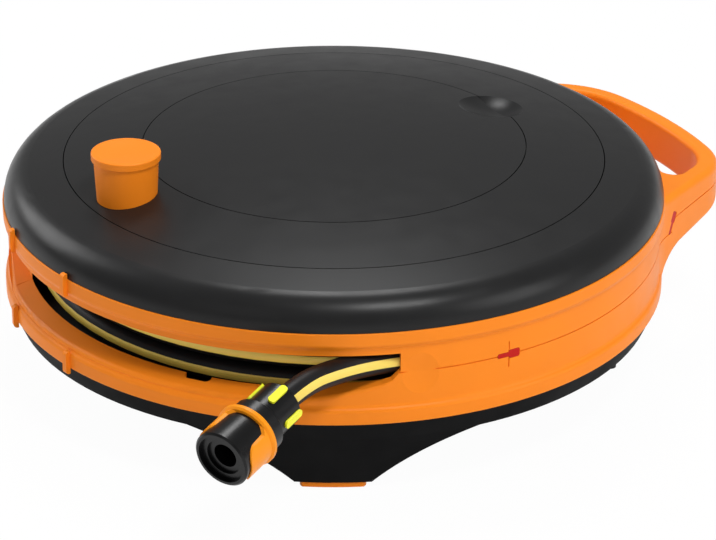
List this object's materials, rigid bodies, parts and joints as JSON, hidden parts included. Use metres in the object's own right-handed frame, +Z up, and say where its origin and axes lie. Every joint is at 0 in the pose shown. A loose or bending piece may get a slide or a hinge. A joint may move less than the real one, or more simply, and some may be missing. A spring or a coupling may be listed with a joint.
{
  "type": "hose reel",
  "caption": "Flat round garden hose reel on three feet: split casing with carry handle, domed top with winding knob and storage lid, wound hose with a push-fit connector.",
  "frame": {"origin": "centre of the reel's outline with its handle, on the floor that the three feet stand on", "axes": "+Z up along the reel's axis, +X towards the carry handle, hose window on the -X and -Y side"},
  "size_m": [0.5079, 0.4813, 0.1816],
  "materials": {
    "orange_plastic": "satin",
    "cover_black": "satin, fine moulded grain",
    "base_black": "matte",
    "clip_red": "gloss",
    "inner_black": "matte",
    "hose_black": "satin with yellow stripes",
    "connector_black": "soft satin",
    "grip_yellow": "satin",
    "connector_orange": "satin",
    "seal_rubber": "matte",
    "steel": "zinc plated",
    "bearing_plastic": "natural"
  },
  "bodies": {
    "casing": {"upper_casing": "orange_plastic", "lower_casing": "orange_plastic", "casing_clips": "clip_red", "casing_screws": "steel", "top_cover": "cover_black", "base_pan": "base_black", "foot_pads": "orange_plastic", "spindle_post": "inner_black", "spindle_screws": "steel", "thrust_washer": "bearing_plastic", "retaining_ring": "steel", "inlet_body": "inner_black", "inlet_seal": "seal_rubber", "inlet_nipple": "inner_black", "hose_tail": "hose_black", "connector_nut": "connector_black", "nut_grips": "grip_yellow", "connector_body": "connector_black", "connector_seal": "seal_rubber", "connector_claws": "connector_black", "collar_spring": "steel"},
    "reel": {"lower_flange": "inner_black", "upper_flange": "inner_black", "drum_core": "inner_black", "drum_screws": "steel", "hub_bush": "bearing_plastic", "swivel_elbow": "inner_black", "swivel_seals": "seal_rubber", "inner_hose_end": "hose_black", "hose_clamp": "steel", "hose_core": "hose_black", "hose_winding": "hose_black", "winding_plate": "cover_black", "storage_cup": "inner_black", "knob_pin": "steel"},
    "knob": {"knob_body": "orange_plastic", "knob_cap": "orange_plastic"},
    "storage_lid": {"storage_lid": "cover_black"},
    "release_sleeve": {"sleeve_shell": "connector_orange", "sleeve_grip": "connector_black"}
  },
  "joints": [
    {"name": "reel_spin", "type": "hinge", "parent": "casing", "child": "reel", "pos_m": [-0.02803, 0, 0], "axis": [0, 0, 1], "continuous": true},
    {"name": "knob_spin", "type": "hinge", "parent": "reel", "child": "knob", "pos_m": [-0.18523, 0, 0.165], "axis": [0, 0, 1], "continuous": true},
    {"name": "lid_lift", "type": "slide", "parent": "reel", "child": "storage_lid", "axis": [0, 0, 1], "range_m": [0, 0.05]},
    {"name": "sleeve_slide", "type": "slide", "parent": "casing", "child": "release_sleeve", "axis": [0.886, 0.4264, 0.1822], "range_m": [0, 0.0035], "stiffness_N_per_m": 600, "deforming": ["collar_spring"]}
  ]
}
